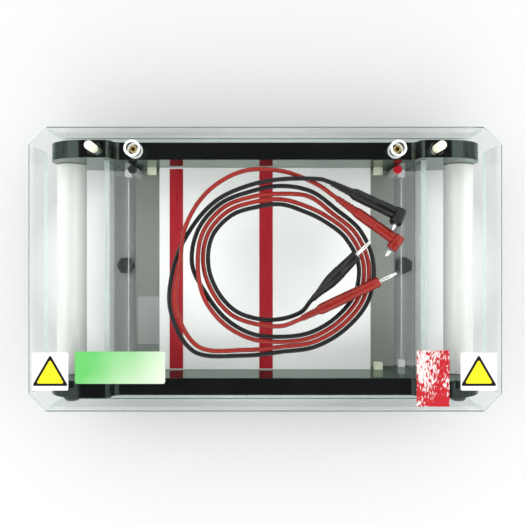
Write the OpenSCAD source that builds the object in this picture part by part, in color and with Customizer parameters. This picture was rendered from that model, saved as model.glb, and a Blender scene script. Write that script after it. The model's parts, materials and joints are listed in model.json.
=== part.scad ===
/* [Side walls] */
// Thickness of each black side wall
wall_t = 16; // [12:1:20]
// Clear width between the two side walls
tank_w = 202; // [150:1:260]
// Overall length of a side wall
wall_len = 405; // [380:1:460]
// Height of the low middle stretch of a side wall
wall_top = 86; // [70:1:92]
// Height of the raised ends that carry the lid
hump_top = 100; // [96:1:120]
// Height of the wall's underside above the bench
wall_foot = 6; // [4:1:10]

/* [Tank] */
// Outside length between the faces of the two clear end walls
tank_len = 299; // [260:1:320]
// Length of the clear base plate under the end walls
base_len = 312; // [300:1:330]
// Thickness of the clear end walls and base plate
sheet_t = 5; // [3:1:8]
// Height of the end walls' top edge
end_top = 84; // [70:1:86]
// Length of the raised gel platform
platform_len = 211; // [150:1:220]
// Height of the platform's top face
platform_top = 36; // [28:1:50]
// Width of each red loading strip
strip_w = 13.4; // [8:0.1:20]

/* [Handles and feet] */
// Outer diameter of a white handle tube
tube_d = 28; // [20:1:34]
// Distance of a handle tube's axis from the middle
tube_x = 188; // [180:1:200]
// Height of a handle tube's axis
tube_z = 53; // [45:1:60]
// Width across the flats of a hexagonal foot
hex_af = 16; // [10:1:20]

/* [Electrical] */
// Distance of the sockets from the middle
socket_x = 120; // [110:1:130]
// Bore diameter of a socket
socket_bore = 4; // [4:1:4]
// Distance of the lid pegs from the middle
peg_x = 155; // [152:1:165]
// Height of the lid pegs' tips
peg_top = 121; // [112:1:140]

/* [Lid] */
// Outside length of the lid
lid_len = 427; // [420:1:440]
// Outside width of the lid
lid_w = 257; // [250:1:270]
// Thickness of the lid sheet
lid_t = 4; // [3:1:5]
// Depth of the long side flaps
side_flap = 60; // [20:1:70]
// Depth of the end flaps
end_flap = 44; // [20:1:60]
// Length cut off each corner of the lid
corner_cut = 17; // [10:1:25]

/* [Leads] */
// Diameter of the lead cable
lead_d = 4; // [3:0.5:5]

/* [Hidden] */
$fn = 48;

inner_y = tank_w / 2;
outer_y = inner_y + wall_t;
socket_y = inner_y + wall_t / 2;
end_in = tank_len / 2 - sheet_t;
base_top = wall_foot + sheet_t;
platform_x = platform_len / 2;
floor_t = 3;
floor_top = base_top + floor_t;
floor_edge = 133.5;
left_strip_x = -88.6;
centre_strip_x = 1;
stop_x = 113;
stop_low = 30;
stop_top = 38;
lid_top = hump_top + lid_t;
hump_r = 36;
hump_in = 140;
step_r = 7;
toe_r = 24;
toe_z = 16;
socket_r = 3.5;
socket_low = 66;
socket_top = 98;
socket_depth = 24;
peg_r = 4;
peg_low = hump_top - 14;
peg_hole_r = 6;
shroud_r = 7.5;
shroud_bore_r = 5.5;
shroud_low = 88;
wire_x = 140;
wire_z = 17;
wire_r = 0.4;
wire_half = 94;
conduit_x = 129;
conduit_y = 96.5;
conduit_r = 4;
cap_r = 4.3;
cap_low = 52;
cap_h = 4;
label_t = 0.2;
left_warning_at = [-209.5, -109];
right_warning_at = [175.5, -109];
warning_size = [32.5, 34];
green_label_at = [-171, -103];
green_label_size = [81, 29];
red_label_at = [136, -123.5];
red_label_size = [29.5, 50.5];
floor_label_at = [-131, -78];
floor_label_size = [22, 49];
skin_gap = 0.3;
button_x = 180;
button_z = 80;
hex_x = 146;
hex_y = 3;
hex_turn = 25;
rubber_x = 132;
fill_z = 74;
fill_count = 6;
left_fill_y = -4;
right_fill_y = -40;
lead_r = lead_d / 2;
lead_z = lid_top + skin_gap + lead_r;

// One outline shared by both side walls: X to the right and height upwards.
module wall_half_outline() {
    half = wall_len / 2;
    translate([0, wall_foot]) square([tank_len / 2, wall_top - wall_foot]);
    translate([half - hump_r, hump_top - hump_r]) circle(r = hump_r, $fn = 96);
    translate([hump_in, toe_z + toe_r])
        square([half - hump_r - hump_in, hump_top - step_r - toe_z - toe_r]);
    translate([hump_in + step_r, hump_top - step_r - 1])
        square([half - hump_r - hump_in - step_r, step_r + 1]);
    translate([hump_in + step_r, hump_top - step_r]) circle(r = step_r);
    difference() {
        translate([hump_in - step_r, wall_top - 1]) square([step_r + 1, step_r + 1]);
        translate([hump_in - step_r, wall_top + step_r]) circle(r = step_r);
    }
    translate([hump_in, toe_z + toe_r]) square([half - hump_in, hump_top - hump_r - toe_z - toe_r]);
    translate([half - toe_r, toe_z + toe_r]) circle(r = toe_r, $fn = 96);
    translate([hump_in, toe_z]) square([half - toe_r - hump_in, toe_r + 1]);
    polygon([[hump_in, wall_foot], [tank_len / 2, wall_foot], [half - toe_r, toe_z],
        [half - toe_r, toe_z + 4], [hump_in, toe_z + 4]]);
}

module side_wall() {
    rotate([90, 0, 0]) linear_extrude(height = wall_t, center = true) {
        wall_half_outline();
        mirror([1, 0]) wall_half_outline();
    }
}

module front_side_wall() {
    color([0.08, 0.08, 0.09]) translate([0, -socket_y, 0]) side_wall();
}

module rear_side_wall() {
    color([0.08, 0.08, 0.09]) difference() {
        translate([0, socket_y, 0]) side_wall();
        for (s = [-1, 1]) {
            translate([s * socket_x, socket_y, socket_low]) cylinder(r = socket_r, h = 60);
            translate([s * peg_x, socket_y, peg_low]) cylinder(r = peg_r, h = 60);
        }
    }
}

module end_wall(side) {
    color([0.85, 0.93, 0.9, 0.4])
        translate([side * (end_in + sheet_t / 2), 0, (base_top + end_top) / 2])
        cube([sheet_t, tank_w, end_top - base_top], center = true);
}

module left_end_wall() {
    end_wall(-1);
}

module right_end_wall() {
    end_wall(1);
}

module base_plate() {
    color([0.85, 0.93, 0.9, 0.4]) translate([-base_len / 2, -inner_y, wall_foot])
        cube([base_len, tank_w, sheet_t]);
}

module gel_platform() {
    color("white") translate([-platform_x, -inner_y, platform_top - sheet_t])
        cube([platform_len, tank_w, sheet_t]);
}

module riser(side) {
    h = platform_top - sheet_t - base_top;
    color("white") translate([side * (platform_x - sheet_t / 2), 0, base_top + h / 2])
        cube([sheet_t, tank_w, h], center = true);
}

module left_riser() {
    riser(-1);
}

module right_riser() {
    riser(1);
}

// Grey floor sheet of one buffer chamber, between the riser and the electrode.
module chamber_floor(side) {
    w = floor_edge - platform_x;
    color([0.5, 0.52, 0.5]) translate([side * (platform_x + w / 2), 0, base_top + floor_t / 2])
        cube([w, tank_w, floor_t], center = true);
}

module left_chamber_floor() {
    chamber_floor(-1);
}

module right_chamber_floor() {
    chamber_floor(1);
}

module loading_strip(mid_x) {
    color([0.7, 0.1, 0.14]) translate([mid_x - strip_w / 2, -inner_y + 1, platform_top])
        cube([strip_w, tank_w - 2.5, skin_gap]);
}

module left_loading_strip() {
    loading_strip(left_strip_x);
}

module centre_loading_strip() {
    loading_strip(centre_strip_x);
}

// Small blocks on the side walls that keep a gel tray from sliding off the platform.
module tray_stops() {
    stop_w = 8.6;
    stop_d = 7;
    color([0.93, 0.92, 0.8]) for (sx = [-1, 1], sy = [-1, 1])
        translate([sx * stop_x, sy * (inner_y - stop_d / 2), (stop_low + stop_top) / 2])
            cube([stop_w, stop_d, stop_top - stop_low], center = true);
}

module electrode_wire(side) {
    color([0.75, 0.75, 0.78]) translate([side * wire_x, 0, wire_z]) rotate([90, 0, 0])
        cylinder(r = wire_r, h = 2 * wire_half, center = true, $fn = 16);
}

module cathode_wire() {
    electrode_wire(-1);
}

module anode_wire() {
    electrode_wire(1);
}

module electrode_clips() {
    clip = 7;
    color("white") for (sx = [-1, 1], sy = [-1, 1])
        translate([sx * wire_x, sy * (wire_half + clip / 2), base_top + clip / 2 + 1])
            cube([clip, clip, clip + 2], center = true);
}

// Upright tube that brings the electrode lead up out of the buffer.
module conduit(side) {
    color([0.9, 0.93, 0.92, 0.6]) translate([side * conduit_x, conduit_y, floor_top])
        cylinder(r = conduit_r, h = cap_low - floor_top);
}

module cathode_conduit() {
    conduit(-1);
}

module anode_conduit() {
    conduit(1);
}

module cap(side) {
    translate([side * conduit_x, conduit_y, cap_low]) rotate_extrude()
        polygon([[0, 0], [cap_r, 0], [cap_r, cap_h - 1], [cap_r - 1, cap_h], [0, cap_h]]);
}

module cathode_cap() {
    color([0.1, 0.1, 0.1]) cap(-1);
}

module anode_cap() {
    color([0.85, 0.05, 0.1]) cap(1);
}

module socket(side) {
    color([0.85, 0.7, 0.35]) translate([side * socket_x, socket_y, 0]) difference() {
        translate([0, 0, socket_low]) cylinder(r = socket_r, h = socket_top - socket_low);
        translate([0, 0, socket_top - socket_depth]) cylinder(d = socket_bore, h = 60);
    }
}

module cathode_socket() {
    socket(-1);
}

module anode_socket() {
    socket(1);
}

module lid_peg(side) {
    dome = 2;
    h = peg_top - peg_low;
    color([0.93, 0.91, 0.82]) translate([side * peg_x, socket_y, peg_low]) rotate_extrude() {
        square([peg_r, h - dome]);
        square([peg_r - dome, h]);
        translate([peg_r - dome, h - dome]) intersection() {
            circle(r = dome);
            square([dome, dome]);
        }
    }
}

module left_lid_peg() {
    lid_peg(-1);
}

module right_lid_peg() {
    lid_peg(1);
}

module handle_tube(side) {
    tube_wall = 3;
    color([0.93, 0.94, 0.93]) translate([side * tube_x, 0, tube_z]) rotate([90, 0, 0]) difference() {
        cylinder(d = tube_d, h = tank_w, center = true, $fn = 64);
        cylinder(d = tube_d - 2 * tube_wall, h = tank_w + 1, center = true, $fn = 64);
    }
}

module left_handle_tube() {
    handle_tube(-1);
}

module right_handle_tube() {
    handle_tube(1);
}

module handle_tie_rods() {
    rod_d = 8;
    color([0.75, 0.75, 0.75]) for (s = [-1, 1])
        translate([s * tube_x, 0, tube_z]) rotate([90, 0, 0])
            cylinder(d = rod_d, h = tank_w, center = true);
}

module handle_screws() {
    head_r = 6;
    head_h = 3;
    key_af = 5;
    color([0.2, 0.2, 0.2]) for (sx = [-1, 1], sy = [-1, 1])
        translate([sx * tube_x, sy * (outer_y + head_h / 2), tube_z]) rotate([90, 0, 0]) difference() {
            cylinder(r = head_r, h = head_h, center = true);
            translate([0, 0, -sy * 1]) cylinder(d = key_af / cos(30), h = head_h, center = true, $fn = 6);
        }
}

// Round bumpers that keep the front flap of the lid off the side wall.
module guide_buttons() {
    button_r = 7.5;
    button_h = 5.5;
    color([0.1, 0.1, 0.1]) for (s = [-1, 1])
        translate([s * button_x, -outer_y, button_z]) rotate([90, 0, 0]) rotate_extrude()
            polygon([[0, 0], [button_r, 0], [button_r, button_h - 2], [button_r - 2, button_h],
                [0, button_h]]);
}

module hex_feet() {
    color([0.4, 0.4, 0.39]) for (s = [-1, 1])
        translate([s * hex_x, hex_y, 0]) rotate(s < 0 ? 0 : hex_turn)
            cylinder(d = hex_af / cos(30), h = wall_foot, $fn = 6);
}

module rubber_feet() {
    foot_r = 7.5;
    color([0.15, 0.15, 0.15]) for (sx = [-1, 1], sy = [-1, 1])
        translate([sx * rubber_x, sy * socket_y, 0]) rotate_extrude()
            polygon([[0, 0], [foot_r - 1, 0], [foot_r, 2], [foot_r, wall_foot], [0, wall_foot]]);
}

// Plain level ticks along the outer face of an end wall.
module fill_marks(side, low_y) {
    tick_w = 5;
    pitch = 8;
    color([0.2, 0.2, 0.2]) for (i = [0 : fill_count - 1])
        translate([side * (tank_len / 2 + label_t / 2), low_y + i * pitch, fill_z])
            cube([label_t, tick_w, i % 2 == 0 ? 3 : 1.5], center = true);
}

module left_fill_marks() {
    fill_marks(-1, left_fill_y);
}

module right_fill_marks() {
    fill_marks(1, right_fill_y);
}

module floor_label() {
    color([0.62, 0.63, 0.62]) translate([floor_label_at[0], floor_label_at[1], floor_top])
        cube([floor_label_size[0], floor_label_size[1], label_t]);
}

// Folded clear sheet: a flat top with cut corners and four flaps.
module lid_shell() {
    hx = lid_len / 2;
    hy = lid_w / 2;
    c = corner_cut;
    color([0.85, 0.93, 0.9, 0.35]) difference() {
        union() {
            translate([0, 0, hump_top]) linear_extrude(height = lid_t)
                polygon([[-hx, -hy + c], [-hx + c, -hy], [hx - c, -hy], [hx, -hy + c],
                    [hx, hy - c], [hx - c, hy], [-hx + c, hy], [-hx, hy - c]]);
            for (s = [-1, 1]) {
                translate([0, s * (hy - lid_t / 2), lid_top - side_flap / 2])
                    cube([lid_len - 2 * c, lid_t, side_flap], center = true);
                translate([s * (hx - lid_t / 2), 0, lid_top - end_flap / 2])
                    cube([lid_t, lid_w - 2 * c, end_flap], center = true);
            }
        }
        for (s = [-1, 1]) {
            translate([s * socket_x, socket_y, 90]) cylinder(r = shroud_r, h = 40);
            translate([s * peg_x, socket_y, 90]) cylinder(r = peg_hole_r, h = 40);
        }
    }
}

module shroud(side) {
    color([0.88, 0.94, 0.92, 0.5]) translate([side * socket_x, socket_y, shroud_low]) difference() {
        cylinder(r = shroud_r, h = lid_top - shroud_low);
        translate([0, 0, -1]) cylinder(r = shroud_bore_r, h = 60);
    }
}

module cathode_shroud() {
    shroud(-1);
}

module anode_shroud() {
    shroud(1);
}

module lid_label(at, size) {
    translate([at[0], at[1], lid_top]) cube([size[0], size[1], label_t]);
}

module left_warning_label() {
    color([0.95, 0.93, 0.85]) lid_label(left_warning_at, warning_size);
}

module right_warning_label() {
    color([0.95, 0.93, 0.85]) lid_label(right_warning_at, warning_size);
}

module green_label() {
    color([0.45, 0.85, 0.45]) lid_label(green_label_at, green_label_size);
}

module red_label() {
    color([0.85, 0.12, 0.15]) lid_label(red_label_at, red_label_size);
}

// Centre of the loose coil of leads on the lid, and the angle between two points of a route.
coil_centre = [14, 4];
coil_step = 22.5;
first_spoke = 67.5;
// Each route runs from the angled plug to the straight plug: distance from the coil's centre
// at each spoke, and the lift of the cable above the lid.
red_spokes = [[79, 0.5], [84, 0], [90.5, 0], [92.5, 1.5], [91.5, 4.4], [90, 4.4], [101.5, 0.5],
    [104, 0], [82.5, 0], [73.5, 0], [75, 0], [77, 0], [80, 0], [78.5, 0], [72.5, 0], [65, 0],
    [66, 0], [63.5, 0], [66, 0], [72.5, 0], [75.5, 1.5], [74, 4.4], [74.5, 4.4], [73.5, 1.5],
    [71.5, 0], [69, 0], [70.5, 0], [72.5, 0], [75.5, 0], [74, 0], [67.5, 0], [60, 0], [57, 0],
    [58.5, 0], [61, 0], [67.5, 0], [71, 0], [69.5, 0], [66, 0], [63, 0], [57.5, 1], [54.5, 4]];
black_spokes = [[82.5, 4.9], [76, 4.5], [76.5, 1], [81.5, 0], [86.5, 0], [95.5, 0], [107, 0],
    [110, 0], [88, 0], [78, 0], [79.5, 0], [81.5, 0], [84.5, 0], [83, 0], [77.5, 0], [70, 0],
    [71, 0], [70.5, 0], [71, 0], [77, 0], [80.5, 0], [79.5, 0], [71.5, 0], [69, 0], [67, 0],
    [64.5, 0], [66, 0], [68, 0], [71, 0], [69.5, 0], [62.5, 0], [55, 0], [52, 0], [54, 0],
    [56, 0], [62.5, 0], [66.5, 0], [65, 0], [61.5, 0], [58, 0], [52.5, 0], [48.5, 0], [46, 1]];
// Cable end of each plug on its axis: X, Y and lift above the lowest lead.
red_angled_end = [63.2, 63.5, 3.5];
black_angled_end = [58.5, 76.5, 5.7];
red_straight_end = [32, -43.5, 7.5];
black_straight_end = [42, -27, 0.8];
// Heading of each plug's axis in plan, and its slope.
red_angled_yaw = -35.5;
black_angled_yaw = -25.5;
red_straight_yaw = 25.5;
black_straight_yaw = 46;
black_straight_rise = 11;
plug_bite = 3;
// Turn of an angled plug's contact about its axis, upwards when negative.
red_roll = 0;
black_roll = -22;
red_body_r = 5.5;
black_body_r = 6;
angled_len = 62;
head_at = 66;
head_left = 5.5;
head_len = 15;
pin_bite = 2;
pin_r = 2;
angled_pin_len = 9;
straight_pin_len = 17;
red_plug_len = 76;
black_plug_len = 56;
tube_sides = 8;

function spoke(i, s) = let (a = first_spoke + i * coil_step)
    [coil_centre[0] + s[0] * cos(a), coil_centre[1] + s[0] * sin(a), lead_z + s[1]];
function at_end(e) = [e[0], e[1], lead_z + e[2]];
function heading(yaw, rise) = [cos(yaw) * cos(rise), sin(yaw) * cos(rise), sin(rise)];
function route(spokes, head, head_yaw, foot, foot_yaw, foot_rise) = concat(
    [at_end(head) + plug_bite * heading(head_yaw, 0)],
    [at_end(head) - plug_bite * heading(head_yaw, 0)],
    [for (i = [0 : len(spokes) - 1]) spoke(i, spokes[i])],
    [at_end(foot) - plug_bite * heading(foot_yaw, foot_rise)],
    [at_end(foot) + plug_bite * heading(foot_yaw, foot_rise)]);
function unit(v) = v / norm(v);
function tangent(p, i) = unit(p[min(i + 1, len(p) - 1)] - p[max(i - 1, 0)]);
function ring(p, i, n) = let (t = tangent(p, i), side = unit(cross(t, [0, 0, 1])), up = cross(side, t))
    [for (k = [0 : n - 1]) p[i] + lead_r * (cos(360 * k / n) * side + sin(360 * k / n) * up)];

// One closed tube with a flat cap at each end.
module lead_tube(p) {
    n = tube_sides;
    m = len(p);
    points = [for (i = [0 : m - 1]) each ring(p, i, n)];
    sides = [for (i = [0 : m - 2], k = [0 : n - 1]) each [
        [i * n + k, i * n + (k + 1) % n, (i + 1) * n + k],
        [i * n + (k + 1) % n, (i + 1) * n + (k + 1) % n, (i + 1) * n + k]]];
    caps = [[for (k = [n - 1 : -1 : 0]) k], [for (k = [0 : n - 1]) (m - 1) * n + k]];
    polyhedron(points = points, faces = concat(sides, caps));
}

module red_cable() {
    color([0.78, 0.16, 0.13]) lead_tube(route(red_spokes, red_angled_end, red_angled_yaw,
        red_straight_end, red_straight_yaw, 0));
}

module black_cable() {
    color([0.1, 0.1, 0.1]) lead_tube(route(black_spokes, black_angled_end, black_angled_yaw,
        black_straight_end, black_straight_yaw, black_straight_rise));
}

// Places a shape that is turned about +Z so that it runs along a plug's axis.
module along(end, yaw, rise) {
    translate([end[0], end[1], lead_z + end[2]]) rotate([0, 90 - rise, yaw]) children();
}

// Plug body with its cable entry at the end point and its contact turned to the right.
module angled_plug(end, yaw, roll, body_r) {
    relief = 20;
    along(end, yaw, 0) rotate_extrude()
        polygon([[0, 0], [2.8, 0], [3.6, relief], [body_r - 0.6, relief + 2], [body_r - 0.2, angled_len],
            [0, angled_len]]);
    along(end, yaw, 0) rotate(roll) translate([0, head_left, head_at]) rotate([90, 0, 0])
        cylinder(r = body_r, h = head_len);
}

module angled_pin(end, yaw, roll) {
    along(end, yaw, 0) rotate(roll) translate([0, head_left - head_len + pin_bite, head_at])
        rotate([90, 0, 0]) cylinder(r = pin_r, h = angled_pin_len);
}

module red_angled_plug() {
    color([0.8, 0.15, 0.12]) angled_plug(red_angled_end, red_angled_yaw, red_roll, red_body_r);
}

module black_angled_plug() {
    color([0.1, 0.1, 0.1]) angled_plug(black_angled_end, black_angled_yaw, black_roll, black_body_r);
}

module red_angled_pin() {
    color([0.8, 0.78, 0.7]) angled_pin(red_angled_end, red_angled_yaw, red_roll);
}

module black_angled_pin() {
    color([0.8, 0.78, 0.7]) angled_pin(black_angled_end, black_angled_yaw, black_roll);
}

module red_straight_plug() {
    color([0.8, 0.15, 0.12]) along(red_straight_end, red_straight_yaw, 0) rotate_extrude()
        polygon([[0, 0], [2.8, 0], [3.4, 16], [4.6, 18], [5, 30], [4.6, 58], [4, red_plug_len],
            [0, red_plug_len]]);
}

module black_straight_plug() {
    color([0.1, 0.1, 0.1]) along(black_straight_end, black_straight_yaw, black_straight_rise)
        rotate_extrude() polygon([[0, 0], [2.6, 0], [3.2, 8], [6, 24], [6, 36], [4.6, black_plug_len],
            [0, black_plug_len]]);
}

module straight_pin(end, yaw, rise, from) {
    color([0.8, 0.78, 0.7]) along(end, yaw, rise) translate([0, 0, from])
        cylinder(r = pin_r, h = straight_pin_len);
}

module red_straight_pin() {
    straight_pin(red_straight_end, red_straight_yaw, 0, red_plug_len);
}

module black_straight_pin() {
    straight_pin(black_straight_end, black_straight_yaw, black_straight_rise, black_plug_len);
}

front_side_wall();
rear_side_wall();
left_end_wall();
right_end_wall();
base_plate();
gel_platform();
left_riser();
right_riser();
left_chamber_floor();
right_chamber_floor();
left_loading_strip();
centre_loading_strip();
tray_stops();
cathode_wire();
anode_wire();
electrode_clips();
cathode_conduit();
anode_conduit();
cathode_cap();
anode_cap();
cathode_socket();
anode_socket();
left_lid_peg();
right_lid_peg();
left_handle_tube();
right_handle_tube();
handle_tie_rods();
handle_screws();
guide_buttons();
hex_feet();
rubber_feet();
left_fill_marks();
right_fill_marks();
floor_label();
lid_shell();
cathode_shroud();
anode_shroud();
left_warning_label();
right_warning_label();
green_label();
red_label();
red_cable();
black_cable();
red_angled_plug();
black_angled_plug();
red_angled_pin();
black_angled_pin();
red_straight_plug();
black_straight_plug();
red_straight_pin();
black_straight_pin();
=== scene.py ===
import json
import math

import bmesh
import bpy
from mathutils import Matrix, Vector

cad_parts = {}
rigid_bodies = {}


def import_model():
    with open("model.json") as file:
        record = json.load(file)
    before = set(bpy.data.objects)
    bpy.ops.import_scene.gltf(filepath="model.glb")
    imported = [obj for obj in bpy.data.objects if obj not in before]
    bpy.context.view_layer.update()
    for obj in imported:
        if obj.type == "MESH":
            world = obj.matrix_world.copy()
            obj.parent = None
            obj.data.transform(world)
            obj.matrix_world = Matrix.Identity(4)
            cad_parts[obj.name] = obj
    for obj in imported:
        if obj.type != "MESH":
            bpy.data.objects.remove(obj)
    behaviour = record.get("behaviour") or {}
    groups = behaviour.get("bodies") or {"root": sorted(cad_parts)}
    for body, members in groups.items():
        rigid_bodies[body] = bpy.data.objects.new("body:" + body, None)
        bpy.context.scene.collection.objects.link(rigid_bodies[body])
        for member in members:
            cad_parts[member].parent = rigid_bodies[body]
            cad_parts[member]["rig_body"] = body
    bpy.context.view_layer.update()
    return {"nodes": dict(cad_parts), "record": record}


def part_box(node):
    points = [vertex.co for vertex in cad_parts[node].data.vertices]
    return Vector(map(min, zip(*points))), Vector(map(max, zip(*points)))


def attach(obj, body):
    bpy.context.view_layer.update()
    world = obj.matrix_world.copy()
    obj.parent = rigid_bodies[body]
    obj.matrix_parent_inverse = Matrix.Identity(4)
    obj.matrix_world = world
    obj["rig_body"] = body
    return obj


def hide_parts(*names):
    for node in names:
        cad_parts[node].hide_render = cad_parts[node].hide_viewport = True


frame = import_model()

MM = 0.001
NODES = frame["nodes"]
SLOT = {s["node"]: s["material_slot"] for s in frame["record"]["subparts"]}
SHARP = math.radians(32)    # edges that turn further than this are eased
TOUCH = 1e-5                # points closer than this lie together

# Camera straight above, three softboxes and a pale room.
LENS = 46.1
CAMERA_PLACE = (-2.5 * MM, 6.0 * MM, 0.708)
SOFTBOXES = {"left": (-1.2, 0.2, 1.25), "right": (1.2, 0.2, 1.25), "front": (0.0, -1.3, 1.25)}
SOFTBOX_SIZE = 1.0
SOFTBOX_POWER = 5
WORLD_POWER = 1.84
DARK_FROM, DARK_FULL = 0.86, 0.93      # height on the unit sky where it darkens overhead
BENCH_SIZE = 4
BENCH_LIGHT_POOL_FULL, BENCH_LIGHT_POOL_END = 0.212, 0.25  # half-lengths of the painted pool of light, the brighter oval under the tank
BENCH_OVAL = 1.65                       # how many times longer that oval is than wide

# The lid, worked out from the frame.
LID_X, LID_Y, LID_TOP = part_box("lid_shell")[1]
SHEET = 4 * MM

# The leads, repeated from the design in millimetres.
LEAD_D = 4.0
LEAD_GAP = 0.3
LEAD_Z = LID_TOP / MM + LEAD_GAP + LEAD_D / 2
PLUG_BITE = 3.0     # how far the cable runs into a plug
HEAD_AT = 66        # crosswise head, from the cable end of an angled plug
PIN_AT = 7.5        # root of the pin, from the middle of that head
ANGLED_PIN, STRAIGHT_PIN = 9, 17
COIL_CENTRE = (14.0, 4.0)
FIRST_SPOKE = 67.5
COIL_STEP = 22.5
# Radius and lift of each cable where it crosses each spoke of the coil in turn.
RED_SPOKES = [(79, 0.5), (84, 0), (90.5, 0), (92.5, 1.5), (91.5, 4.4), (90, 4.4), (101.5, 0.5),
    (104, 0), (82.5, 0), (73.5, 0), (75, 0), (77, 0), (80, 0), (78.5, 0), (72.5, 0), (65, 0),
    (66, 0), (63.5, 0), (66, 0), (72.5, 0), (75.5, 1.5), (74, 4.4), (74.5, 4.4), (73.5, 1.5),
    (71.5, 0), (69, 0), (70.5, 0), (72.5, 0), (75.5, 0), (74, 0), (67.5, 0), (60, 0), (57, 0),
    (58.5, 0), (61, 0), (67.5, 0), (71, 0), (69.5, 0), (66, 0), (63, 0), (57.5, 1), (54.5, 4)]
BLACK_SPOKES = [(82.5, 4.9), (76, 4.5), (76.5, 1), (81.5, 0), (86.5, 0), (95.5, 0), (107, 0),
    (110, 0), (88, 0), (78, 0), (79.5, 0), (81.5, 0), (84.5, 0), (83, 0), (77.5, 0), (70, 0),
    (71, 0), (70.5, 0), (71, 0), (77, 0), (80.5, 0), (79.5, 0), (71.5, 0), (69, 0), (67, 0),
    (64.5, 0), (66, 0), (68, 0), (71, 0), (69.5, 0), (62.5, 0), (55, 0), (52, 0), (54, 0),
    (56, 0), (62.5, 0), (66.5, 0), (65, 0), (61.5, 0), (58, 0), (52.5, 0), (48.5, 0), (46, 1)]
# Cable end of each plug (X, Y, lift), its heading in plan and its slope in degrees.
PLUGS = {
    "red_angled": ((63.2, 63.5, 3.5), -35.5, 0),
    "black_angled": ((58.5, 76.5, 5.7), -25.5, 0),
    "red_straight": ((32, -43.5, 7.5), 25.5, 0),
    "black_straight": ((42, -27, 0.8), 46, 11),
}


# ---------------------------------------------------------------- camera, floor and light

def make_camera():
    data = bpy.data.cameras.new("camera")
    data.sensor_width = 36
    data.lens = LENS
    cam = bpy.data.objects.new("camera", data)
    cam.location = CAMERA_PLACE
    bpy.context.scene.collection.objects.link(cam)
    bpy.context.scene.camera = cam


def softbox(name, place):
    """A square lamp aimed at the middle of the bench."""
    data = bpy.data.lights.new(name, "AREA")
    data.shape = "SQUARE"
    data.size = SOFTBOX_SIZE
    data.energy = SOFTBOX_POWER
    lamp = bpy.data.objects.new(name, data)
    lamp.location = place
    lamp.rotation_euler = (-Vector(place)).to_track_quat("-Z", "Y").to_euler()
    bpy.context.scene.collection.objects.link(lamp)


def make_world():
    """Pale room all round, with the dark patch above that the sheet mirrors to the lens."""
    world = bpy.data.worlds.new("studio")
    world.use_nodes = True
    nodes, links = world.node_tree.nodes, world.node_tree.links
    coords = nodes.new("ShaderNodeTexCoord")
    split = nodes.new("ShaderNodeSeparateXYZ")
    links.new(coords.outputs["Generated"], split.inputs[0])
    dome = ramp(nodes, links, split.outputs[2], (0.98, 0.99, 1), (0.025, 0.025, 0.025), DARK_FROM, DARK_FULL)
    links.new(dome, nodes["Background"].inputs[0])
    nodes["Background"].inputs[1].default_value = WORLD_POWER
    bpy.context.scene.world = world


def make_stage():
    """The room, the lamps and the bench."""
    make_world()
    for side, place in SOFTBOXES.items():
        softbox("softbox_" + side, place)
    bm = bmesh.new()
    bmesh.ops.create_grid(bm, x_segments=1, y_segments=1, size=BENCH_SIZE)
    floor = new_object("bench_top", bm)
    finish_piece(floor, bench_material())


# ---------------------------------------------------------------- materials

def new_material(name):
    mat = bpy.data.materials.new(name)
    mat.use_nodes = True
    mat.node_tree.nodes.clear()
    return mat, mat.node_tree.nodes, mat.node_tree.links


def ramp(nodes, links, value, low, high, low_at=0.3, high_at=0.7):
    """Blends from one colour to another as the value runs between two points."""
    node = nodes.new("ShaderNodeValToRGB")
    node.color_ramp.elements[0].position = low_at
    node.color_ramp.elements[1].position = high_at
    node.color_ramp.elements[0].color = (*low, 1)
    node.color_ramp.elements[1].color = (*high, 1)
    links.new(value, node.inputs[0])
    return node.outputs[0]


def noise(nodes, links, scale, detail=4, stretch=(1, 1, 1)):
    """Noise in metres, stretched along the axes, on the resting object."""
    coords = nodes.new("ShaderNodeTexCoord")
    mapping = nodes.new("ShaderNodeMapping")
    mapping.inputs["Scale"].default_value = stretch
    tex = nodes.new("ShaderNodeTexNoise")
    tex.inputs["Scale"].default_value = scale
    tex.inputs["Detail"].default_value = detail
    links.new(coords.outputs["Object"], mapping.inputs[0])
    links.new(mapping.outputs[0], tex.inputs["Vector"])
    return tex.outputs[0]


def map_range(nodes, links, value, low, high):
    """Spreads the useful middle of a noise over a new range."""
    node = nodes.new("ShaderNodeMapRange")
    node.inputs["From Min"].default_value = 0.3
    node.inputs["From Max"].default_value = 0.7
    node.inputs["To Min"].default_value = low
    node.inputs["To Max"].default_value = high
    links.new(value, node.inputs[0])
    return node.outputs[0]


def scale_add(nodes, links, value, factor, extra):
    """value * factor + extra, where extra is a number or another node's output."""
    node = nodes.new("ShaderNodeMath")
    node.operation = "MULTIPLY_ADD"
    links.new(value, node.inputs[0])
    node.inputs[1].default_value = factor
    if isinstance(extra, (int, float)):
        node.inputs[2].default_value = extra
    else:
        links.new(extra, node.inputs[2])
    return node.outputs[0]


def turned_away(nodes):
    """0 where the surface faces the viewer, rising to 1 edge on."""
    node = nodes.new("ShaderNodeLayerWeight")
    node.inputs["Blend"].default_value = 0.5
    return node.outputs["Facing"]


def mirrored(nodes, links, under, over, power, rise, least):
    """Puts one shader over another in a share that grows as the surface turns away."""
    steep = nodes.new("ShaderNodeMath")
    steep.operation = "POWER"
    links.new(turned_away(nodes), steep.inputs[0])
    steep.inputs[1].default_value = power
    mix = nodes.new("ShaderNodeMixShader")
    links.new(scale_add(nodes, links, steep.outputs[0], rise, least), mix.inputs[0])
    links.new(under.outputs[0], mix.inputs[1])
    links.new(over.outputs[0], mix.inputs[2])
    return mix.outputs[0]


def bump(nodes, links, height, strength, distance):
    node = nodes.new("ShaderNodeBump")
    node.inputs["Strength"].default_value = strength
    node.inputs["Distance"].default_value = distance
    links.new(height, node.inputs["Height"])
    return node.outputs[0]


def shade(color, k):
    return tuple(min(1.0, c * k) for c in color)


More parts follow.
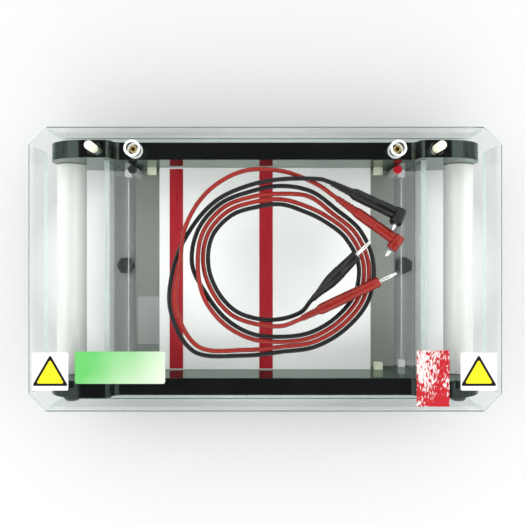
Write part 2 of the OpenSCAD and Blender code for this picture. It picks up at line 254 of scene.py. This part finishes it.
def painted_rim_shade(nodes, links, tone, rim):
    """The colour as it is face on, falling to this share of it where the surface turns away: painted shade
    on the sides.
    """
    value = nodes.new("ShaderNodeHueSaturation")
    links.new(map_range(nodes, links, turned_away(nodes), 1.0, rim), value.inputs["Value"])
    links.new(tone, value.inputs["Color"])
    return value.outputs[0]


def tinted_mirror(nodes, links, bsdf, tint):
    """Replaces the white reflection with a coloured one that grows as the surface turns away."""
    bsdf.inputs["Specular IOR Level"].default_value = 0.0
    mirror = nodes.new("ShaderNodeBsdfPrincipled")
    mirror.inputs["Base Color"].default_value = (*tint, 1)
    mirror.inputs["Metallic"].default_value = 1.0
    mirror.inputs["Roughness"].default_value = 0.05
    return mirrored(nodes, links, bsdf, mirror, 5.0, 0.96, 0.04)


def solid(name, color, rough, grain=900, vary=0.06, relief=0.15, stretch=(1, 1, 1), ior=1.49,
          metallic=0.0, subsurface=0.0, mirror=None, rim=1.0):
    """Opaque surface with colour drift, uneven gloss and a fine grain. Any rim paints shade on its sides."""
    mat, nodes, links = new_material(name)
    out = nodes.new("ShaderNodeOutputMaterial")
    bsdf = nodes.new("ShaderNodeBsdfPrincipled")
    bsdf.inputs["IOR"].default_value = ior
    bsdf.inputs["Metallic"].default_value = metallic
    bsdf.inputs["Subsurface Weight"].default_value = subsurface
    bsdf.inputs["Subsurface Radius"].default_value = (0.004, 0.004, 0.004)
    drift = noise(nodes, links, 25, 5, stretch)
    tone = ramp(nodes, links, drift, shade(color, 1 - vary), shade(color, 1 + vary))
    # painted shade: the colour itself darkens on the sides that turn away
    if rim < 1.0:
        tone = painted_rim_shade(nodes, links, tone, rim)
    links.new(tone, bsdf.inputs["Base Color"])
    wipe = noise(nodes, links, 60, 6, stretch)
    links.new(map_range(nodes, links, wipe, rough * 0.8, rough * 1.25), bsdf.inputs["Roughness"])
    if relief:
        fine = noise(nodes, links, grain, 2, stretch)
        links.new(bump(nodes, links, fine, relief, 0.0001), bsdf.inputs["Normal"])
    surface = tinted_mirror(nodes, links, bsdf, mirror) if mirror else bsdf.outputs[0]
    links.new(surface, out.inputs[0])
    return mat


def clear(name, tint, haze=0.0, body=(0.9, 0.96, 0.93), rough=0.03):
    """Clear sheet: light passes straight through, and both faces mirror by angle alone."""
    mat, nodes, links = new_material(name)
    out = nodes.new("ShaderNodeOutputMaterial")
    passed = nodes.new("ShaderNodeBsdfTransparent")
    passed.inputs[0].default_value = (*tint, 1)
    shine = nodes.new("ShaderNodeBsdfPrincipled")
    shine.inputs["Base Color"].default_value = (*body, 1)
    shine.inputs["Metallic"].default_value = 0.0 if haze else 1.0
    wipe = noise(nodes, links, 14, 6, (1, 6, 1))
    links.new(map_range(nodes, links, wipe, rough * 0.6, rough * 1.8), shine.inputs["Roughness"])
    lines = noise(nodes, links, 160, 3, (1, 30, 1))
    links.new(bump(nodes, links, lines, 0.02, 0.0002), shine.inputs["Normal"])
    surface = mirrored(nodes, links, passed, shine, 7.0, 0.6 * (1 - haze), 0.035 + haze)
    links.new(surface, out.inputs[0])
    return mat


def bench_material():
    """Pale bench with a painted pool of light: brighter around the tank than further out."""
    mat = solid("bench", (0.60, 0.605, 0.61), 0.6, 40, 0.015, 0.0)
    nodes, links = mat.node_tree.nodes, mat.node_tree.links
    coords = nodes.new("ShaderNodeTexCoord")
    oval = nodes.new("ShaderNodeMapping")
    oval.inputs["Scale"].default_value = (1, BENCH_OVAL, 1)
    links.new(coords.outputs["Object"], oval.inputs["Vector"])
    reach = nodes.new("ShaderNodeVectorMath")
    reach.operation = "LENGTH"
    links.new(oval.outputs["Vector"], reach.inputs[0])
    span = nodes.new("ShaderNodeMapRange")
    span.inputs["From Min"].default_value = BENCH_LIGHT_POOL_FULL
    span.inputs["From Max"].default_value = BENCH_LIGHT_POOL_END
    links.new(reach.outputs["Value"], span.inputs[0])
    # painted pool of light: 0.82 inside the oval, falling to the plain bench's 0.565 outside it
    tone = ramp(nodes, links, span.outputs[0], (0.82, 0.83, 0.83), (0.565, 0.565, 0.565), 0.0, 1.0)
    shader = next(n for n in nodes if n.type == "BSDF_PRINCIPLED")
    links.new(tone, shader.inputs["Base Color"])
    return mat


def worn_label(name, paper, ink):
    """A printed film rubbed through to its paper in fine scuffs, most in a few broad patches."""
    mat, nodes, links = new_material(name)
    out = nodes.new("ShaderNodeOutputMaterial")
    bsdf = nodes.new("ShaderNodeBsdfPrincipled")
    bsdf.inputs["Specular IOR Level"].default_value = 0.2
    scuff = noise(nodes, links, 700, 6, (1, 0.35, 1))
    patch = noise(nodes, links, 45, 3, (1.5, 0.8, 1))
    both = scale_add(nodes, links, patch, 0.9, scuff)
    wear = scale_add(nodes, links, both, 0.5, 0.0)
    links.new(ramp(nodes, links, wear, ink, paper, 0.505, 0.53), bsdf.inputs["Base Color"])
    links.new(map_range(nodes, links, scuff, 0.3, 0.55), bsdf.inputs["Roughness"])
    links.new(bump(nodes, links, scuff, 0.2, 0.0001), bsdf.inputs["Normal"])
    links.new(bsdf.outputs[0], out.inputs[0])
    return mat


def fading_label(name, left, right, low_x, high_x):
    """A print that fades from one colour to another along X with a wavy front."""
    mat, nodes, links = new_material(name)
    out = nodes.new("ShaderNodeOutputMaterial")
    bsdf = nodes.new("ShaderNodeBsdfPrincipled")
    coords = nodes.new("ShaderNodeTexCoord")
    split = nodes.new("ShaderNodeSeparateXYZ")
    links.new(coords.outputs["Object"], split.inputs[0])
    slide = scale_add(nodes, links, split.outputs[1], -0.8, split.outputs[0])
    drift = noise(nodes, links, 30, 5)
    wave = scale_add(nodes, links, drift, 0.03, slide)
    span = nodes.new("ShaderNodeMapRange")
    span.inputs["From Min"].default_value = low_x
    span.inputs["From Max"].default_value = high_x
    links.new(wave, span.inputs[0])
    links.new(ramp(nodes, links, span.outputs[0], left, right, 0.1, 0.9), bsdf.inputs["Base Color"])
    links.new(map_range(nodes, links, drift, 0.25, 0.5), bsdf.inputs["Roughness"])
    links.new(bsdf.outputs[0], out.inputs[0])
    return mat


CLEAR = {
    "clear_acrylic": dict(tint=(0.985, 0.993, 0.989)),
    "acrylic_edge": dict(tint=(0.86, 0.93, 0.90), haze=0.35, body=(0.72, 0.80, 0.77), rough=0.2),
    # painted shade: darker tints for the lid's bends and for the dark lines along its edges
    "acrylic_fold_painted_shade": dict(tint=(0.58, 0.65, 0.62), haze=0.15, body=(0.30, 0.36, 0.33), rough=0.1),
    "acrylic_line_painted_shade": dict(tint=(0.22, 0.30, 0.27), haze=0.3, body=(0.08, 0.12, 0.10), rough=0.2),
    # painted highlight: the whitish, hazy finish on the shroud rims
    "rim_painted_highlight": dict(tint=(0.95, 0.97, 0.96), haze=0.85, body=(0.92, 0.94, 0.93), rough=0.25),
    "frosted_tube": dict(tint=(0.88, 0.92, 0.90), haze=0.45, body=(0.72, 0.76, 0.74), rough=0.3),
}
SOLID = {
    "black_acrylic": dict(color=(0.005, 0.005, 0.0055), rough=0.045, grain=700, vary=0.2, relief=0.02,
                          mirror=(0.66, 0.86, 0.75)),
    "white_acrylic": dict(color=(0.95, 0.945, 0.93), rough=0.22, grain=500, vary=0.02, relief=0.04),
    # grey_sheet on the chamber floors is painted shade: a grey sheet laid in the trench beside the platform,
    # which lies in shade
    "grey_sheet": dict(color=(0.29, 0.305, 0.28), rough=0.42, grain=700, vary=0.07, relief=0.1,
                       stretch=(1, 0.2, 1)),
    "red_strip": dict(color=(0.40, 0.010, 0.020), rough=0.32, grain=800, vary=0.12, relief=0.1,
                      stretch=(2, 0.4, 1)),
    "cream_plastic": dict(color=(0.80, 0.80, 0.62), rough=0.45, grain=900, vary=0.05, relief=0.2),
    "platinum": dict(color=(0.75, 0.75, 0.76), rough=0.2, grain=2000, vary=0.03, relief=0.1, metallic=1.0),
    "black_plastic": dict(color=(0.018, 0.018, 0.018), rough=0.4, grain=1400, vary=0.15, relief=0.25),
    "red_plastic": dict(color=(0.62, 0.006, 0.02), rough=0.3, grain=1400, vary=0.08, relief=0.15),
    "gold_contact": dict(color=(0.85, 0.66, 0.30), rough=0.24, grain=1500, vary=0.06, relief=0.1,
                         metallic=1.0),
    "nickel": dict(color=(0.72, 0.71, 0.68), rough=0.2, grain=1500, vary=0.06, relief=0.1, metallic=1.0),
    "milky_tube": dict(color=(0.70, 0.695, 0.675), rough=0.25, grain=400, vary=0.03, relief=0.05,
                       stretch=(1, 0.15, 1), subsurface=0.25),
    "steel": dict(color=(0.55, 0.55, 0.55), rough=0.3, grain=1500, vary=0.05, relief=0.2, stretch=(1, 9, 1),
                  metallic=1.0),
    "grey_plastic": dict(color=(0.19, 0.19, 0.185), rough=0.5, grain=900, vary=0.15, relief=0.3),
    "foot_rubber": dict(color=(0.03, 0.03, 0.03), rough=0.7, grain=1200, vary=0.2, relief=0.4),
    "ink": dict(color=(0.05, 0.05, 0.05), rough=0.5, grain=1500, vary=0.3, relief=0.1),
    "label_cream": dict(color=(0.68, 0.68, 0.64), rough=0.35, grain=700, vary=0.02, relief=0.06),
    "label_grey": dict(color=(0.46, 0.47, 0.46), rough=0.35, grain=700, vary=0.04, relief=0.05),
    "label_yellow": dict(color=(0.72, 0.60, 0.012), rough=0.35, grain=700, vary=0.03, relief=0.05, ior=1.3),
    "label_black": dict(color=(0.008, 0.008, 0.008), rough=0.4, grain=700, vary=0.1, relief=0.05, ior=1.18),
    # red_pvc's rim of 0.3 paints shade on the cable's sides
    "red_pvc": dict(color=(0.215, 0.010, 0.005), rough=0.28, grain=900, vary=0.15, relief=0.12, ior=1.36,
                    rim=0.3),
    "black_pvc": dict(color=(0.005, 0.005, 0.0055), rough=0.28, grain=900, vary=0.25, relief=0.12, ior=1.32),
}
MAT = {name: clear(name, **look) for name, look in CLEAR.items()}
MAT.update({name: solid(name, **look) for name, look in SOLID.items()})
MAT["label_green"] = fading_label("label_green", (0.10, 0.42, 0.10), (0.62, 0.63, 0.55), -0.085, 0.03)
MAT["label_red"] = worn_label("label_red", (0.62, 0.55, 0.54), (0.38, 0.012, 0.018))
# The floor label is one print, paler than the sheet it shares a slot with.
SPECIAL = {"floor_label": "label_grey"}


# ---------------------------------------------------------------- mesh helpers

def new_object(name, bm):
    mesh = bpy.data.meshes.new(name)
    bm.normal_update()
    bm.to_mesh(mesh)
    bm.free()
    piece = bpy.data.objects.new(name, mesh)
    bpy.context.scene.collection.objects.link(piece)
    return piece


def finish_piece(piece, *materials):
    """Gives a mesh its materials, smooth faces and sharp edges."""
    for mat in materials:
        piece.data.materials.append(mat)
    piece.data.shade_smooth()
    piece.data.set_sharp_from_angle(angle=SHARP)
    return piece


def firm_normals(piece):
    """Area-weighted normals, so that flat faces stay flat beside their eased edges."""
    mesh = piece.data
    sums = [Vector() for _ in mesh.vertices]
    for face in mesh.polygons:
        for v in face.vertices:
            sums[v] += face.normal * face.area
    mesh.normals_split_custom_set_from_vertices([tuple(n.normalized()) for n in sums])


def refined_bmesh(node):
    """The node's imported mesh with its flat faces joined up."""
    bm = bmesh.new()
    bm.from_mesh(NODES[node].data)
    bmesh.ops.remove_doubles(bm, verts=bm.verts, dist=1e-6)
    bmesh.ops.dissolve_limit(bm, angle_limit=math.radians(0.4), verts=bm.verts, edges=bm.edges)
    return bm


def sharp_edges(bm):
    return [e for e in bm.edges if len(e.link_faces) == 2 and e.calc_face_angle(0) > SHARP]


def soften(bm, edges, width, segments=2):
    bmesh.ops.bevel(bm, geom=edges, offset=width, segments=segments, profile=0.5,
                    affect="EDGES", clamp_overlap=True)


def stand_for(piece, node):
    """The piece rides with the node's body and takes its place."""
    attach(piece, NODES[node]["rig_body"])
    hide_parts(node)
    return piece


def softened_node(node, width=0.5 * MM, segments=2):
    """A copy of a CAD node with eased edges."""
    bm = refined_bmesh(node)
    soften(bm, sharp_edges(bm), width, segments)
    piece = new_object(node + "_eased", bm)
    finish_piece(piece, MAT[SLOT[node]])
    firm_normals(piece)
    return stand_for(piece, node)


def turned_rings(bm, profile, place, sides):
    """One ring of vertices for each (radius, height) pair in metres."""
    turns = [2 * math.pi * k / sides for k in range(sides)]
    return [[bm.verts.new(place @ Vector((r * math.cos(a), r * math.sin(a), z))) for a in turns]
            for r, z in profile]


def join_rings(bm, low, high):
    n = len(low)
    for k in range(n):
        bm.faces.new((low[k], low[(k + 1) % n], high[(k + 1) % n], high[k]))


def lathe(bm, profile, place, sides=32):
    """A turned solid from (radius, height) pairs in metres, closed at both ends."""
    rings = turned_rings(bm, profile, place, sides)
    for low, high in zip(rings, rings[1:]):
        join_rings(bm, low, high)
    bm.faces.new(list(reversed(rings[0])))
    bm.faces.new(rings[-1])


def rounded_prism(bm, low, high, radius, steps=6):
    """A flat plate with round corners in plan between two corners."""
    outline = []
    for cx, cy, start in ((high.x - radius, high.y - radius, 0), (low.x + radius, high.y - radius, 90),
                          (low.x + radius, low.y + radius, 180), (high.x - radius, low.y + radius, 270)):
        for k in range(steps + 1):
            a = math.radians(start + 90 * k / steps)
            outline.append((cx + radius * math.cos(a), cy + radius * math.sin(a)))
    prism(bm, outline, low.z, high.z)


def prism(bm, outline, low, high):
    """An outline in plan raised between two heights."""
    base = [bm.verts.new((x, y, low)) for x, y in outline]
    top = [bm.verts.new((x, y, high)) for x, y in outline]
    bm.faces.new(list(reversed(base)))
    bm.faces.new(top)
    join_rings(bm, base, top)


# ---------------------------------------------------------------- leads

def plug_axis(key):
    """Where a plug's cable end is, with +Z along its axis."""
    (x, y, lift), yaw, rise = PLUGS[key]
    heading = Matrix.Rotation(math.radians(yaw), 4, "Z")
    slope = Matrix.Rotation(math.radians(90 - rise), 4, "Y")
    return Matrix.Translation(Vector((x, y, LEAD_Z + lift)) * MM) @ heading @ slope


def route_points(spokes, head, foot):
    """Points for a cable from inside one plug, round its spokes, to inside the other."""
    inside, outside = Vector((0, 0, PLUG_BITE * MM)), Vector((0, 0, -PLUG_BITE * MM))
    points = [plug_axis(head) @ inside, plug_axis(head) @ outside]
    for i, (radius, lift) in enumerate(spokes):
        a = math.radians(FIRST_SPOKE + COIL_STEP * i)
        points.append(Vector((COIL_CENTRE[0] + radius * math.cos(a),
                              COIL_CENTRE[1] + radius * math.sin(a), LEAD_Z + lift)) * MM)
    return points + [plug_axis(foot) @ outside, plug_axis(foot) @ inside]


def smooth_path(points, steps=8):
    """A curve through every point, never lower than the lid lets the cable lie."""
    path = []
    last = len(points) - 1
    for i in range(last):
        before, start, end, after = (points[max(i - 1, 0)], points[i], points[i + 1],
                                     points[min(i + 2, last)])
        for k in range(steps):
            t = k / steps
            p = (2 * start + (end - before) * t + (2 * before - 5 * start + 4 * end - after) * t * t
                 + (3 * start - before - 3 * end + after) * t ** 3) * 0.5
            path.append(Vector((p.x, p.y, max(p.z, LEAD_Z * MM))))
    path.append(points[-1])
    return path


def path_length(path):
    return sum((b - a).length for a, b in zip(path, path[1:]))


def make_cable(color, spokes):
    """The cable as one open line of points, with its length."""
    path = smooth_path(route_points(spokes, color + "_angled", color + "_straight"))
    curve = bpy.data.curves.new(color + "_lead_cable", "CURVE")
    curve.dimensions = "3D"
    curve.bevel_depth = LEAD_D / 2 * MM
    curve.bevel_resolution = 4
    curve.use_fill_caps = True
    spline = curve.splines.new("POLY")
    spline.points.add(len(path) - 1)
    for point, p in zip(spline.points, path):
        point.co = (*p, 1)
    spline.use_smooth = True
    curve.materials.append(MAT[color + "_pvc"])
    piece = bpy.data.objects.new(color + "_lead_cable", curve)
    bpy.context.scene.collection.objects.link(piece)
    stand_for(piece, color + "_cable")
    return piece, path_length(path)


def ribbed(start, end, low_r, high_r, ribs, depth=0.55):
    """Profile of a strain relief: rounded rings with slots between them."""
    profile = []
    pitch = (end - start) / ribs
    for i in range(ribs):
        z = start + i * pitch
        r = low_r + (high_r - low_r) * i / max(ribs - 1, 1)
        profile += [(r - depth, z), (r - depth, z + pitch * 0.3), (r - 0.15, z + pitch * 0.38),
                    (r, z + pitch * 0.52), (r, z + pitch * 0.8), (r - 0.15, z + pitch * 0.94)]
    return profile


def in_metres(profile):
    return [(r * MM, z * MM) for r, z in profile]


def angled_plug(color, body_r, roll):
    """Moulded right-angle plug: relief, grip with ridges and a crosswise head."""
    axis = plug_axis(color + "_angled")
    bm = bmesh.new()
    profile = [(2.4, 0)] + ribbed(0.4, 20, 2.9, 3.9, 6)
    profile += [(3.6, 20), (4.3, 20.6), (body_r - 1.0, 22)]
    profile += ribbed(23, 42, body_r - 0.5, body_r - 0.3, 8, 0.35)
    profile += [(body_r - 0.9, 42.5), (body_r - 0.5, 44), (body_r - 0.3, 61.5), (body_r - 1.2, 62.5)]
    lathe(bm, in_metres(profile), axis)
    turn = Matrix.Rotation(math.radians(roll), 4, "Z") @ Matrix.Rotation(math.radians(90), 4, "X")
    head = axis @ Matrix.Translation((0, 0, HEAD_AT * MM)) @ turn
    head_profile = [(body_r - 1.4, -5.5), (body_r - 0.5, -5.1), (body_r - 0.1, -4.2), (body_r - 0.1, 3.2),
                    (body_r - 0.6, 3.6), (body_r - 0.6, 4.6), (body_r - 0.2, 5.0), (body_r - 0.2, 8.2),
                    (body_r - 1.0, 9.2)]
    lathe(bm, in_metres(head_profile), head)
    piece = new_object(color + "_angled_plug_body", bm)
    finish_piece(piece, MAT[color + "_pvc"])
    stand_for(piece, color + "_angled_plug")
    return piece, head @ Matrix.Translation((0, 0, PIN_AT * MM))


def contact_pin(name, node, place, length):
    """Sprung contact: collar, bowed lantern and a domed tip."""
    bm = bmesh.new()
    bow = [(1.55, -1), (1.55, 0.6), (1.2, 0.8), (1.2, 1.4)]
    for i in range(9):
        t = i / 8
        bow.append((1.25 + 0.6 * math.sin(math.pi * t), 1.4 + (length - 3.4) * t))
    bow += [(1.3, length - 1.6), (1.3, length - 0.9), (0.9, length - 0.25), (0.3, length)]
    lathe(bm, in_metres(bow), place, 24)
    piece = new_object(name, bm)
    finish_piece(piece, MAT["nickel"])
    return stand_for(piece, node)


def clear_sleeve(name, place, inner, outer, length):
    """The clear guard tube around a contact."""
    bm = bmesh.new()
    outline = [(outer - 0.2, 0), (outer, 0.3), (outer, length - 0.3), (outer - 0.2, length),
               (inner + 0.1, length), (inner, length - 0.3), (inner, 0)]
    rings = turned_rings(bm, in_metres(outline), place, 32)
    for low, high in zip(rings, rings[1:] + rings[:1]):
        join_rings(bm, low, high)
    piece = new_object(name, bm)
    finish_piece(piece, MAT["clear_acrylic"])
    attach(piece, "leads")
    return piece


def straight_plug(color, profile):
    """Moulded straight plug, turned from its profile."""
    bm = bmesh.new()
    lathe(bm, in_metres(profile), plug_axis(color + "_straight"))
    piece = new_object(color + "_straight_plug_body", bm)
    finish_piece(piece, MAT[color + "_pvc"])
    return stand_for(piece, color + "_straight_plug")


def red_straight_profile():
    return ([(2.4, 0)] + ribbed(0.4, 16, 3.0, 3.5, 6) + [(3.4, 16.2), (4.4, 17.2), (4.9, 20), (5.0, 32)]
            + [(4.7, 56), (4.5, 57), (4.5, 58), (4.8, 58.6), (4.8, 74.6), (4.2, 76)])


def black_straight_profile():
    return [(2.3, 0), (2.7, 1), (3.0, 6), (3.7, 11), (5.0, 17), (5.9, 23), (6.0, 27), (6.0, 33), (5.8, 36),
            (5.5, 36.4), (5.5, 37.4), (5.7, 37.8), (5.0, 50), (4.9, 54.8), (4.2, 56)]


def make_lead(color, spokes, body_r, roll, profile, nose):
    """One cable with both its plugs, their contacts and their clear guards."""
    cable, length = make_cable(color, spokes)
    elbow, pin_place = angled_plug(color, body_r, roll)
    elbow_pin = contact_pin(color + "_elbow_contact", color + "_angled_pin", pin_place, ANGLED_PIN)
    elbow_guard = clear_sleeve(color + "_elbow_guard", pin_place @ Matrix.Translation((0, 0, 1.6 * MM)),
                               2.3, 2.9, 6.5)
    grip = straight_plug(color, profile)
    nose_place = plug_axis(color + "_straight") @ Matrix.Translation((0, 0, nose * MM))
    grip_pin = contact_pin(color + "_grip_contact", color + "_straight_pin", nose_place, STRAIGHT_PIN)
    guard = clear_sleeve(color + "_contact_guard", nose_place, 2.5, 3.1, 9)


# ---------------------------------------------------------------- lid

def edge_faces(bm, is_edge, index=1):
    """Gives the faces that pass the test the piece's second, or a later, material."""
    bm.normal_update()
    for face in bm.faces:
        if is_edge(face):
            face.material_index = index


def on_bend(edge):
    """One of the long edges where the sheet folds down, on either face."""
    a, b = edge.verts
    for axis, outer in ((0, LID_X), (1, LID_Y)):
        for off, high in ((0, LID_TOP), (SHEET, LID_TOP - SHEET)):
            if all(abs(abs(v.co[axis]) - (outer - off)) < TOUCH and abs(v.co.z - high) < TOUCH
                   for v in (a, b)):
                return abs(a.co[1 - axis] - b.co[1 - axis]) > 20 * MM
    return False


def is_cut(face):
    """A sawn edge: under a flap, at its end or across a cut corner."""
    n, c = face.normal, face.calc_center_median()
    low = n.z < -0.9 and c.z < LID_TOP - 30 * MM
    slant = abs(n.x) > 0.4 and abs(n.y) > 0.4 and abs(n.z) < 0.5
    end_x = abs(n.x) > 0.9 and abs(c.y) > LID_Y - SHEET - MM and abs(c.x) < LID_X - 10 * MM
    end_y = abs(n.y) > 0.9 and abs(c.x) > LID_X - SHEET - MM and abs(c.y) < LID_Y - 10 * MM
    return low or slant or end_x or end_y


def is_fold(face):
    n = face.normal
    return 0.15 < n.z < 0.97 and min(abs(n.x), abs(n.y)) < 0.1


def make_lid():
    """Folded clear sheet with round bends, open corners, greenish cut edges and painted shade: darker tints
    on the bends, darkest on their steep half and along the flaps' eased lower rims.
    """
    bm = refined_bmesh("lid_shell")
    soften(bm, [e for e in bm.edges if on_bend(e)], 2.6 * MM, 5)
    flap_low = min(v.co.z for v in bm.verts)
    rim = [e for e in bm.edges
           if all(v.co.z < flap_low + TOUCH for v in e.verts) and e.calc_length() > 20 * MM]
    soften(bm, rim, 0.7 * MM, 1)
    soften(bm, sharp_edges(bm), 0.25 * MM, 1)

    def is_line(face):
        eased = -0.9 < face.normal.z < -0.35 and face.calc_center_median().z < flap_low + 2 * MM
        return eased or (is_fold(face) and face.normal.z < 0.75)

    edge_faces(bm, is_cut)
    # painted shade: bend faces and the eased lower rims take the darker tints
    edge_faces(bm, is_fold, 2)
    edge_faces(bm, is_line, 3)
    lid = new_object("folded_lid", bm)
    finish_piece(lid, *(MAT[m] for m in ("clear_acrylic", "acrylic_edge", "acrylic_fold_painted_shade", "acrylic_line_painted_shade")))
    firm_normals(lid)
    stand_for(lid, "lid_shell")


def rounded_triangle(middle, reach, radius=1.2 * MM):
    """Outline of a triangle with round corners, one of them towards +Y."""
    outline = []
    for k in range(3):
        a = math.radians(90 + 120 * k)
        corner = Vector((math.cos(a), math.sin(a))) * (reach - radius)
        for step in range(-4, 5):
            b = a + math.radians(60) * step / 4
            outline.append((middle.x + corner.x + radius * math.cos(b),
                            middle.y + corner.y + radius * math.sin(b)))
    return outline


def make_plain_label(node, radius=1.5 * MM):
    """A printed film with round corners."""
    low, high = (Vector(c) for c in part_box(node))
    bm = bmesh.new()
    rounded_prism(bm, low, high, radius)
    film = new_object(node + "_film", bm)
    finish_piece(film, MAT[SLOT[node]])
    stand_for(film, node)


def make_warning_label(node):
    """Cream film with a plain yellow triangle in a black border."""
    make_plain_label(node)
    low, high = (Vector(c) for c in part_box(node))
    middle = (low + high) / 2 - Vector((0, 3.5 * MM, 0))
    for part, reach, lift, mat in (("border", 17.6 * MM, 0.06 * MM, "label_black"),
                                   ("field", 13.2 * MM, 0.12 * MM, "label_yellow")):
        bm = bmesh.new()
        prism(bm, rounded_triangle(middle, reach), high.z - 0.05 * MM, high.z + lift)
        mark = new_object(node + "_" + part, bm)
        finish_piece(mark, MAT[mat])
        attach(mark, "lid")


# ---------------------------------------------------------------- tank

def make_clear_panels():
    """End walls and base plate with greenish sawn edges where they are open to the air."""
    for node, axis in (("left_end_wall", 2), ("right_end_wall", 2), ("base_plate", 0)):
        bm = refined_bmesh(node)
        soften(bm, sharp_edges(bm), 0.3 * MM, 2)
        edge_faces(bm, lambda f, axis=axis: f.normal[axis] > 0.9 or (axis == 0 and f.normal.x < -0.9))
        panel = new_object(node + "_panel", bm)
        finish_piece(panel, MAT["clear_acrylic"], MAT["acrylic_edge"])
        firm_normals(panel)
        stand_for(panel, node)


def make_solid_parts():
    """Opaque parts, kept as designed with their edges eased."""
    for node in ("front_side_wall", "rear_side_wall", "left_handle_tube", "right_handle_tube"):
        softened_node(node, 0.8 * MM, 3)
    # the chamber floors keep grey_sheet, painted shade for the dim trench
    for node in ("gel_platform", "left_riser", "right_riser", "left_chamber_floor", "right_chamber_floor",
                 "tray_stops", "electrode_clips", "rubber_feet", "guide_buttons",
                 "handle_screws", "cathode_cap", "anode_cap", "cathode_socket", "anode_socket"):
        softened_node(node, 0.35 * MM, 2)
    for node in ("cathode_conduit", "anode_conduit"):
        softened_node(node, 0.3 * MM, 2)


def make_shrouds():
    """Clear guard tubes whose turned rims carry a painted highlight: a whitish, hazy finish."""
    for node in ("cathode_shroud", "anode_shroud"):
        bm = refined_bmesh(node)
        soften(bm, sharp_edges(bm), 0.4 * MM, 2)
        # painted highlight: the rim faces take the whitish finish
        edge_faces(bm, lambda f: abs(f.normal.z) > 0.3)
        tube = new_object(node + "_turned", bm)
        finish_piece(tube, MAT["clear_acrylic"], MAT["rim_painted_highlight"])
        stand_for(tube, node)


def make_hex_feet():
    """Hexagonal feet, a hair short of the clear base so that their tops show through it."""
    bm = refined_bmesh("hex_feet")
    soften(bm, sharp_edges(bm), 0.6 * MM, 2)
    top = max(v.co.z for v in bm.verts)
    for v in bm.verts:
        v.co.z = min(v.co.z, top - 0.15 * MM)
    piece = new_object("hex_feet_eased", bm)
    finish_piece(piece, MAT["grey_plastic"])
    firm_normals(piece)
    stand_for(piece, "hex_feet")


def make_pegs():
    """Nylon pegs with a groove under a rounded tip."""
    for node in ("left_lid_peg", "right_lid_peg"):
        low, high = (Vector(c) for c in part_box(node))
        r = (high.x - low.x) / 2 / MM
        h = (high.z - low.z) / MM
        bm = bmesh.new()
        place = Matrix.Translation(((low.x + high.x) / 2, (low.y + high.y) / 2, low.z))
        profile = [(r, 0), (r, h - 10), (r - 0.5, h - 9.6), (r - 0.5, h - 8.6), (r, h - 8.2), (r, h - 2.2)]
        profile += [(r - 2.2 + 2.2 * math.cos(math.radians(a)), h - 2.2 + 2.2 * math.sin(math.radians(a)))
                    for a in (20, 40, 60, 80)]
        lathe(bm, in_metres(profile), place)
        peg = new_object(node + "_turned", bm)
        finish_piece(peg, MAT["cream_plastic"])
        stand_for(peg, node)


def dress_carried_nodes():
    """Every CAD node that stays gets its finished material."""
    for node, obj in NODES.items():
        obj.data.materials.clear()
        obj.data.materials.append(MAT[SPECIAL.get(node, SLOT[node])])


make_camera()
make_lead("red", RED_SPOKES, 5.5, 0, red_straight_profile(), 76)
make_lead("black", BLACK_SPOKES, 6.0, -22, black_straight_profile(), 56)
make_stage()
dress_carried_nodes()
make_lid()
make_clear_panels()
make_solid_parts()
make_hex_feet()
make_shrouds()
make_pegs()
for label in ("left_warning_label", "right_warning_label"):
    make_warning_label(label)
make_plain_label("green_label", 2.0 * MM)
make_plain_label("red_label", 1.0 * MM)
bpy.context.scene.view_settings.view_transform = "Standard"
